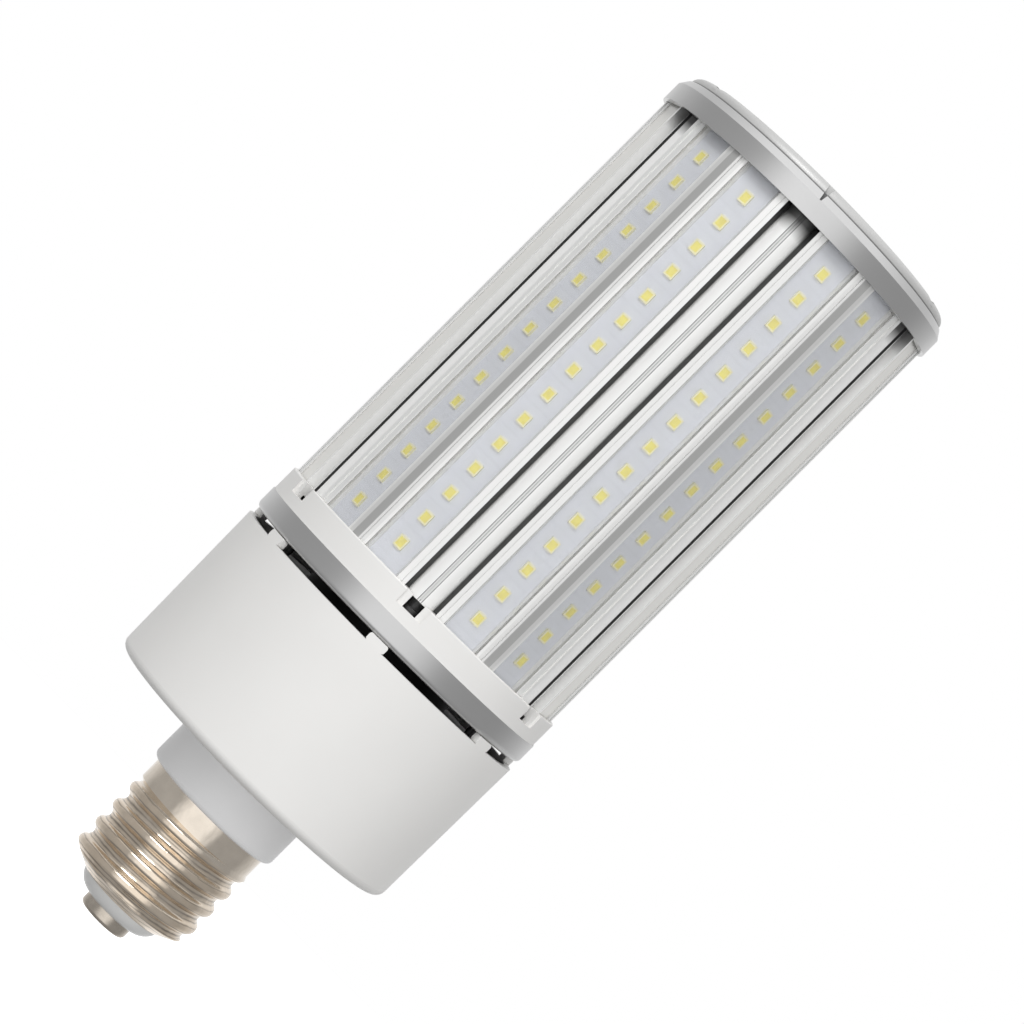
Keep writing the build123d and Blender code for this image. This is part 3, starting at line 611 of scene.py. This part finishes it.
class LAMP_OT_housing(Operator):
    """Finish the driver housing, its dark cover, the crown and both kinds of screws"""

    bl_idname = "corn_lamp.housing"
    bl_label = "Housing and crown"

    def execute(self, context):
        finish = context.scene.lamp_finish
        moulding = finish_material(
            "white_moulding",
            finish.moulding,
            0.42,
            variation=0.012,
            roughness_spread=0.04,
            pattern_scale=40.0,
            bump=0.14,
            bump_scale=2200.0,
        )
        black = finish_material(
            "black_moulding", (0.012, 0.010, 0.009), 0.55, variation=0.2, bump=0.1
        )
        dress(["driver_housing", "lower_crown"], moulding)
        dress(["driver_cover"], black)
        dress(["housing_screws", "end_screws"], screw_material())
        return {"FINISHED"}


def lid_material(rgb):
    """Satin paint, with painted shade in the joint round the lid's foot."""
    material = finish_material(
        "lid_satin",
        rgb,
        0.45,
        metallic=0.3,
        variation=0.02,
        pattern_scale=120.0,
        bump=0.04,
        bump_depth=0.004,
        bump_scale=2600.0,
    )
    tree = material.node_tree
    clear = span(tree, object_axes(tree)["Z"], 0.0, 1.0, *LID_JOINT)
    # Painted shade: the lid is dark below the joint's height
    paint(tree, clear, JOINT_SHADE, base_colour(tree))
    return material


class LAMP_OT_rings(Operator):
    """Finish both silver rings, the lid and the gasket"""

    bl_idname = "corn_lamp.rings"
    bl_label = "End rings and lid"

    def execute(self, context):
        finish = context.scene.lamp_finish
        silver = finish_material(
            "silver_satin",
            finish.trim,
            0.30,
            metallic=0.95,
            variation=0.01,
            roughness_spread=0.02,
            pattern_scale=120.0,
            bump=0.04,
            bump_depth=0.002,
            bump_scale=3200.0,
        )
        lid = lid_material(finish.lid)
        rubber = finish_material(
            "gasket_black", (0.015, 0.015, 0.015), 0.7, variation=0.2, bump=0.2
        )
        dress(["lower_trim_ring", "cap_ring"], silver)
        dress(["top_lid"], lid)
        dress(["upper_gasket"], rubber)
        return {"FINISHED"}


def sink_material(rgb):
    """Bright anodised aluminium with extrusion lines, with painted shade in the slots,
    the slits, at the slots' tops under the cap and in the corner grooves.
    """
    material = finish_material(
        "anodised_extrusion",
        rgb,
        0.36,
        metallic=FACET_METAL,
        variation=0.015,
        roughness_spread=0.03,
        pattern_scale=500.0,
        stretch=(1.0, 1.0, 0.006),
        bump=0.03,
        bump_depth=0.002,
        bump_scale=700.0,
        bump_stretch=(1.0, 1.0, 0.003),
    )
    tree = material.node_tree
    axes = object_axes(tree)
    radius = axis_distance(tree)
    angle = maths(tree, "ARCTAN2", axes["Y"], axes["X"])
    from_front = maths(tree, "SUBTRACT", angle, FRONT)
    from_slot = maths(tree, "PINGPONG", from_front, SLOT_ANGLE / 2)
    aside = maths(tree, "MULTIPLY", maths(tree, "SINE", from_slot), radius)
    inside = span(tree, aside, 1.0, 0.0, *SLOT_SIDE)
    metal = span(tree, inside, FACET_METAL, SLOT_METAL, 0.0, 1.0)
    link(tree, metal, tree.nodes["Principled BSDF"].inputs["Metallic"])

    # Painted shade: darker deep in the slots, black in the slits and nearly black at
    # the slots' tops under the cap
    top = span(tree, axes["Z"], 0.0, 1.0, *SLOT_TOP)
    under_cap = maths(tree, "MULTIPLY", top, inside)
    cap_shade = span(tree, under_cap, 1.0, TOP_LIGHT, 0.0, 1.0)
    depth = span(tree, radius, DEEP_LIGHT, 1.0, *SLOT_DEPTH)
    slit = ramp(tree, span(tree, aside, 0.0, 1.0, *SLIT_REACH), greys(SLIT_SHADE_BANDS))
    light = maths(tree, "MULTIPLY", maths(tree, "MULTIPLY", depth, cap_shade), slit)

    # Painted shade in the corner groove between facets, with the rim kept bright as a
    # painted highlight
    from_facet = maths(tree, "SUBTRACT", from_slot, FACET_ANGLE)
    across = maths(tree, "MULTIPLY", maths(tree, "SINE", from_facet), radius)
    corner = span(tree, across, 0.0, 1.0, *CORNER_REACH)
    bands = ramp(tree, corner, greys(CORNER_SHADE_BANDS))
    paint(tree, 1.0, base_colour(tree), bands, "MULTIPLY")
    # Mixes the painted shade colour in where the slot's light falls
    paint(tree, light, SLOT_SHADE, base_colour(tree))
    return material


def lip_tree():
    """Two thin lips sunk in the slit of a screw channel, repeated round the axis."""
    kinds = {
        "Count": "NodeSocketInt",
        "Lip": "NodeSocketVector",
        "Left": "NodeSocketVector",
        "Right": "NodeSocketVector",
        "Finish": "NodeSocketMaterial",
    }
    tree, given, result = geometry_tree("channel_lips", kinds)
    pair = add_node(tree, "GeometryNodeJoinGeometry")
    for side in ("Left", "Right"):
        cube = add_node(tree, "GeometryNodeMeshCube")
        link(tree, given.outputs["Lip"], cube.inputs["Size"])
        move = add_node(tree, "GeometryNodeTransform")
        link(tree, cube.outputs["Mesh"], move.inputs["Geometry"])
        link(tree, given.outputs[side], move.inputs["Translation"])
        link(tree, move.outputs["Geometry"], pair.inputs["Geometry"])
    copies = add_node(tree, "GeometryNodeDuplicateElements", domain="INSTANCE")
    whole = add_node(tree, "GeometryNodeGeometryToInstance")
    link(tree, pair.outputs["Geometry"], whole.inputs["Geometry"])
    link(tree, whole.outputs["Instances"], copies.inputs["Geometry"])
    link(tree, given.outputs["Count"], copies.inputs["Amount"])
    step = maths(tree, "DIVIDE", 2 * math.pi, given.outputs["Count"])
    turn = maths(tree, "MULTIPLY_ADD", copies.outputs["Duplicate Index"], step, FRONT)
    angle = add_node(tree, "ShaderNodeCombineXYZ")
    link(tree, turn, angle.inputs["Z"])
    spin = add_node(tree, "GeometryNodeRotateInstances")
    link(tree, copies.outputs["Geometry"], spin.inputs["Instances"])
    link(tree, angle.outputs["Vector"], spin.inputs["Rotation"])
    spin.inputs["Local Space"].default_value = False
    real = add_node(tree, "GeometryNodeRealizeInstances")
    link(tree, spin.outputs["Instances"], real.inputs["Geometry"])
    coat = add_node(tree, "GeometryNodeSetMaterial")
    link(tree, real.outputs["Geometry"], coat.inputs["Geometry"])
    link(tree, given.outputs["Finish"], coat.inputs["Material"])
    link(tree, coat.outputs["Geometry"], result.inputs["Geometry"])
    return tree


class LAMP_OT_heat_sink(Operator):
    """Finish the heat sink, and set the lips in the slits of its screw channels"""

    bl_idname = "corn_lamp.heat_sink"
    bl_label = "Heat sink"

    def execute(self, context):
        aluminium = sink_material(context.scene.lamp_finish.aluminium)
        dress(["heat_sink"], aluminium)
        slit = context.scene.lamp_slit
        middle = (slit.foot + slit.head) / 2
        offset = slit.half_width + slit.lip_width / 2
        depth = slit.radius - slit.lip_depth / 2
        lips = grow(
            "channel_lips",
            lip_tree(),
            {
                "Count": SLOT_COUNT,
                "Lip": (slit.lip_depth, slit.lip_width, slit.head - slit.foot),
                "Left": (depth, -offset, middle),
                "Right": (depth, offset, middle),
                "Finish": aluminium,
            },
        )
        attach(lips, BODY)
        return {"FINISHED"}


def package_tree():
    """A row of light packages: pale bodies with a recessed window, each on solder."""
    kinds = {
        "Count": "NodeSocketInt",
        "Pitch": "NodeSocketFloat",
        "Package": "NodeSocketVector",
        "Solder": "NodeSocketVector",
        "Start": "NodeSocketVector",
        "Angle": "NodeSocketVector",
        "Window share": "NodeSocketFloat",
        "Recess": "NodeSocketFloat",
        "Body finish": "NodeSocketMaterial",
        "Window finish": "NodeSocketMaterial",
        "Solder finish": "NodeSocketMaterial",
    }
    tree, given, result = geometry_tree("light_package_row", kinds)

    def brick(size, material):
        cube = add_node(tree, "GeometryNodeMeshCube")
        link(tree, given.outputs[size], cube.inputs["Size"])
        halves = add_node(tree, "ShaderNodeSeparateXYZ")
        link(tree, given.outputs[size], halves.inputs["Vector"])
        lift = add_node(tree, "ShaderNodeCombineXYZ")
        link(tree, maths(tree, "MULTIPLY", halves.outputs["X"], 0.5), lift.inputs["X"])
        move = add_node(tree, "GeometryNodeTransform")
        link(tree, cube.outputs["Mesh"], move.inputs["Geometry"])
        link(tree, lift.outputs["Vector"], move.inputs["Translation"])
        coat = add_node(tree, "GeometryNodeSetMaterial")
        link(tree, move.outputs["Geometry"], coat.inputs["Geometry"])
        link(tree, given.outputs[material], coat.inputs["Material"])
        return coat.outputs["Geometry"]

    body = brick("Package", "Body finish")
    facing = add_node(tree, "GeometryNodeInputNormal")
    axes = add_node(tree, "ShaderNodeSeparateXYZ")
    link(tree, facing.outputs["Normal"], axes.inputs["Vector"])
    outer = add_node(
        tree, "FunctionNodeCompare", data_type="FLOAT", operation="GREATER_THAN"
    )
    link(tree, axes.outputs["X"], outer.inputs["A"])
    outer.inputs["B"].default_value = OUTER_FACE
    rim = add_node(tree, "GeometryNodeExtrudeMesh")
    link(tree, body, rim.inputs["Mesh"])
    link(tree, outer.outputs["Result"], rim.inputs["Selection"])
    rim.inputs["Offset Scale"].default_value = 0.0
    shrink = add_node(tree, "GeometryNodeScaleElements")
    link(tree, rim.outputs["Mesh"], shrink.inputs["Geometry"])
    link(tree, rim.outputs["Top"], shrink.inputs["Selection"])
    link(tree, given.outputs["Window share"], shrink.inputs["Scale"])
    sink = add_node(tree, "GeometryNodeExtrudeMesh")
    link(tree, shrink.outputs["Geometry"], sink.inputs["Mesh"])
    link(tree, rim.outputs["Top"], sink.inputs["Selection"])
    depth = maths(tree, "MULTIPLY", given.outputs["Recess"], -1.0)
    link(tree, depth, sink.inputs["Offset Scale"])
    window = add_node(tree, "GeometryNodeSetMaterial")
    link(tree, sink.outputs["Mesh"], window.inputs["Geometry"])
    link(tree, sink.outputs["Top"], window.inputs["Selection"])
    link(tree, given.outputs["Window finish"], window.inputs["Material"])
    package = add_node(tree, "GeometryNodeJoinGeometry")
    link(tree, brick("Solder", "Solder finish"), package.inputs["Geometry"])
    link(tree, window.outputs["Geometry"], package.inputs["Geometry"])

    step = add_node(tree, "ShaderNodeCombineXYZ")
    link(tree, given.outputs["Pitch"], step.inputs["Z"])
    line = add_node(tree, "GeometryNodeMeshLine", mode="OFFSET")
    link(tree, given.outputs["Count"], line.inputs["Count"])
    link(tree, given.outputs["Start"], line.inputs["Start Location"])
    link(tree, step.outputs["Vector"], line.inputs["Offset"])
    place = add_node(tree, "GeometryNodeInstanceOnPoints")
    link(tree, line.outputs["Mesh"], place.inputs["Points"])
    link(tree, package.outputs["Geometry"], place.inputs["Instance"])
    real = add_node(tree, "GeometryNodeRealizeInstances")
    link(tree, place.outputs["Instances"], real.inputs["Geometry"])
    turn = add_node(tree, "GeometryNodeTransform")
    link(tree, real.outputs["Geometry"], turn.inputs["Geometry"])
    link(tree, given.outputs["Angle"], turn.inputs["Rotation"])
    link(tree, turn.outputs["Geometry"], result.inputs["Geometry"])
    return tree


class LAMP_OT_packages(Operator):
    """Make the rows of light packages on the twelve boards"""

    bl_idname = "corn_lamp.packages"
    bl_label = "Light packages"

    def execute(self, context):
        size = context.scene.lamp_package
        white = finish_material(
            "package_body",
            (0.93, 0.89, 0.58),
            0.35,
            variation=0.03,
            pattern_scale=500.0,
        )
        phosphor = finish_material(
            "phosphor_window",
            context.scene.lamp_finish.phosphor,
            0.30,
            variation=0.10,
            pattern_scale=700.0,
            bump=0.05,
            Coat_Weight=0.5,
            Coat_Roughness=0.15,
        )
        solder = finish_material(
            "solder_tin",
            (0.86, 0.86, 0.85),
            0.35,
            metallic=0.4,
            variation=0.08,
            pattern_scale=900.0,
        )
        tree = package_tree()
        for name, angle, hand in facet_places():
            piece = grow(
                f"light_packages_{name}",
                tree,
                {
                    "Count": size.count,
                    "Pitch": size.pitch,
                    "Package": (size.rise, size.short_side, size.long_side),
                    "Solder": (
                        size.solder_rise,
                        size.short_side * SOLDER_SHARE,
                        size.long_side + 2 * size.solder_reach,
                    ),
                    "Start": (
                        size.board_radius,
                        hand * size.line_shift,
                        size.mid_height - size.pitch * (size.count - 1) / 2,
                    ),
                    "Angle": (0.0, 0.0, angle),
                    "Window share": size.window_share,
                    "Recess": size.recess,
                    "Body finish": white,
                    "Window finish": phosphor,
                    "Solder finish": solder,
                },
            )
            stand_for(piece, f"led_row_{name}")
        return {"FINISHED"}


class LAMP_OT_boards(Operator):
    """Finish the boards and their clear covers"""

    bl_idname = "corn_lamp.boards"
    bl_label = "Boards and covers"

    def execute(self, context):
        finish = context.scene.lamp_finish
        board = board_material(finish.mask, context.scene.lamp_package)
        cover = cover_material(finish.cover_haze)
        dress([f"led_board_{name}" for name in FACETS], board)
        dress([f"cover_strip_{name}" for name in FACETS], cover)
        return {"FINISHED"}


class LAMP_OT_driver(Operator):
    """Finish the driver board, its parts and the leads"""

    bl_idname = "corn_lamp.driver"
    bl_label = "Driver and leads"

    def execute(self, context):
        laminate = finish_material(
            "green_laminate",
            (0.02, 0.13, 0.05),
            0.35,
            variation=0.15,
            pattern_scale=220.0,
        )
        terminal = finish_material(
            "terminal_green", (0.03, 0.20, 0.08), 0.45, variation=0.05
        )
        ferrite = finish_material(
            "ferrite_grey",
            (0.05, 0.05, 0.055),
            0.6,
            variation=0.15,
            pattern_scale=500.0,
            bump=0.3,
        )
        tape = finish_material(
            "winding_tape", (0.62, 0.45, 0.06), 0.4, variation=0.06, bump=0.1
        )
        sleeve = finish_material(
            "capacitor_sleeve", (0.012, 0.016, 0.035), 0.25, variation=0.1, bump=0.05
        )
        copper = finish_material(
            "enamelled_copper",
            (0.55, 0.20, 0.08),
            0.25,
            metallic=0.9,
            variation=0.1,
            pattern_scale=400.0,
        )
        insulation = finish_material(
            "lead_insulation", (0.62, 0.62, 0.60), 0.5, variation=0.04, bump=0.1
        )
        dress(["driver_board", "link_ring"], laminate)
        dress(["terminal_blocks"], terminal)
        dress(["transformer_core"], ferrite)
        dress(["line_choke"], copper)
        dress(["transformer_bobbin"], tape)
        dress(["bulk_capacitors"], sleeve)
        dress(["base_leads", "output_leads", "strip_leads"], insulation)
        return {"FINISHED"}


class LAMP_OT_studio(Operator):
    """Set the camera, the pale floor, the bright room and the soft lights"""

    bl_idname = "corn_lamp.studio"
    bl_label = "Studio"

    def execute(self, context):
        studio = context.scene.lamp_studio
        self.camera(context.scene, studio)
        self.room(context.scene, studio)
        self.floor(studio)
        aim = Vector((studio.aim_side, 0.0, studio.aim_height))
        self.soft_light("key_light", aim, *KEY_LIGHT, studio.key_power)
        fill = self.soft_light("fill_light", aim, *FILL_LIGHT, studio.fill_power)
        fill.visible_glossy = False
        return {"FINISHED"}

    def camera(self, scene, studio):
        data = bpy.data.cameras.new("photo_camera")
        data.lens = studio.lens
        data.clip_start = 0.05
        data.clip_end = 20.0
        camera = bpy.data.objects.new("photo_camera", data)
        scene.collection.objects.link(camera)
        place = Vector((0.0, -studio.distance, studio.camera_height))
        aim = Vector((studio.aim_side, 0.0, studio.aim_height))
        ahead = (aim - place).normalized()
        turned = Matrix.Rotation(studio.roll, 3, ahead) @ Vector((1.0, 0.0, 0.0))
        right = (turned - turned.dot(ahead) * ahead).normalized()
        up = right.cross(ahead)
        camera.matrix_world = Matrix(
            (
                (right.x, up.x, -ahead.x, place.x),
                (right.y, up.y, -ahead.y, place.y),
                (right.z, up.z, -ahead.z, place.z),
                (0.0, 0.0, 0.0, 1.0),
            )
        )
        scene.camera = camera

    def room(self, scene, studio):
        world = bpy.data.worlds.new("bright_room")
        scene.world = world
        world.use_nodes = True
        tree = world.node_tree
        tree.nodes.clear()
        direction = add_node(tree, "ShaderNodeTexCoord")
        axes = add_node(tree, "ShaderNodeSeparateXYZ")
        link(tree, direction.outputs["Generated"], axes.inputs["Vector"])
        toward = maths(tree, "MULTIPLY", axes.outputs["Y"], -1.0)
        bearing = maths(tree, "ARCTAN2", axes.outputs["X"], toward)
        share = span(tree, bearing, 0.0, 1.0, -math.pi, math.pi)
        bands = [(0.5 + turn / 360.0, value) for turn, value in ROOM_ROUND]
        level = ramp(tree, share, greys(bands))
        for start, end, value in (ROOM_ALOFT, ROOM_BELOW):
            share = span(tree, axes.outputs["Z"], 0.0, 1.0, start, end)
            blend = add_node(tree, "ShaderNodeMix", data_type="RGBA")
            link(tree, share, blend.inputs["Factor"])
            link(tree, level, blend.inputs["A"])
            blend.inputs["B"].default_value = (value, value, value, 1.0)
            level = blend.outputs["Result"]
        seen = add_node(tree, "ShaderNodeLightPath")
        dim = add_node(tree, "ShaderNodeBackground")
        link(tree, level, dim.inputs["Color"])
        dim.inputs["Strength"].default_value = studio.room
        plain = add_node(tree, "ShaderNodeBackground")
        plain.inputs["Color"].default_value = (1.0, 1.0, 1.0, 1.0)
        choose = add_node(tree, "ShaderNodeMixShader")
        link(tree, seen.outputs["Is Camera Ray"], choose.inputs["Fac"])
        link(tree, dim.outputs["Background"], choose.inputs[1])
        link(tree, plain.outputs["Background"], choose.inputs[2])
        output = add_node(tree, "ShaderNodeOutputWorld")
        link(tree, choose.outputs["Shader"], output.inputs["Surface"])
        scene.view_settings.view_transform = "Standard"

    def floor(self, studio):
        half = FLOOR_HALF_WIDTH
        mesh = bpy.data.meshes.new("pale_floor")
        corners = [(-half, -half), (half, -half), (half, half), (-half, half)]
        mesh.from_pydata(
            [(x, y, studio.floor_height) for x, y in corners], [], [(0, 1, 2, 3)]
        )
        mesh.materials.append(
            finish_material(
                "pale_floor",
                (0.93, 0.93, 0.93),
                0.8,
                variation=0.01,
                pattern_scale=3.0,
                Emission_Color=(1.0, 1.0, 1.0, 1.0),
                Emission_Strength=0.9,
            )
        )
        floor = bpy.data.objects.new("pale_floor", mesh)
        bpy.context.scene.collection.objects.link(floor)
        floor.visible_diffuse = False
        floor.visible_glossy = False

    def soft_light(self, name, aim, way, width, height, power):
        data = bpy.data.lights.new(name, "AREA")
        data.shape = "RECTANGLE"
        data.size = width
        data.size_y = height
        data.energy = power
        light = bpy.data.objects.new(name, data)
        bpy.context.scene.collection.objects.link(light)
        back = Vector(way)
        light.location = aim + back
        light.rotation_mode = "QUATERNION"
        light.rotation_quaternion = back.to_track_quat("Z", "Y")
        return light


STEPS = (
    LAMP_OT_base,
    LAMP_OT_housing,
    LAMP_OT_rings,
    LAMP_OT_heat_sink,
    LAMP_OT_boards,
    LAMP_OT_packages,
    LAMP_OT_driver,
    LAMP_OT_studio,
)


class LAMP_PT_panel(Panel):
    bl_idname = "LAMP_PT_panel"
    bl_label = "Corn Lamp"
    bl_space_type = "VIEW_3D"
    bl_region_type = "UI"
    bl_category = "Corn Lamp"

    def draw(self, context):
        for step in STEPS:
            self.layout.operator(step.bl_idname)
        for group in SETTINGS:
            box = self.layout.box()
            settings = getattr(context.scene, group)
            for name in settings.__annotations__:
                box.prop(settings, name)


SETTINGS = {
    "lamp_package": PackageSettings,
    "lamp_thread": ThreadSettings,
    "lamp_slit": SlitSettings,
    "lamp_finish": FinishSettings,
    "lamp_studio": StudioSettings,
}
CLASSES = (*SETTINGS.values(), *STEPS, LAMP_PT_panel)


def register():
    for cls in CLASSES:
        bpy.utils.register_class(cls)
    for name, group in SETTINGS.items():
        setattr(bpy.types.Scene, name, PointerProperty(type=group))


def unregister():
    for name in SETTINGS:
        delattr(bpy.types.Scene, name)
    for cls in reversed(CLASSES):
        bpy.utils.unregister_class(cls)


def main():
    register()
    for step in STEPS:
        group, call = step.bl_idname.split(".")
        getattr(getattr(bpy.ops, group), call)()


if __name__ == "__main__":
    main()
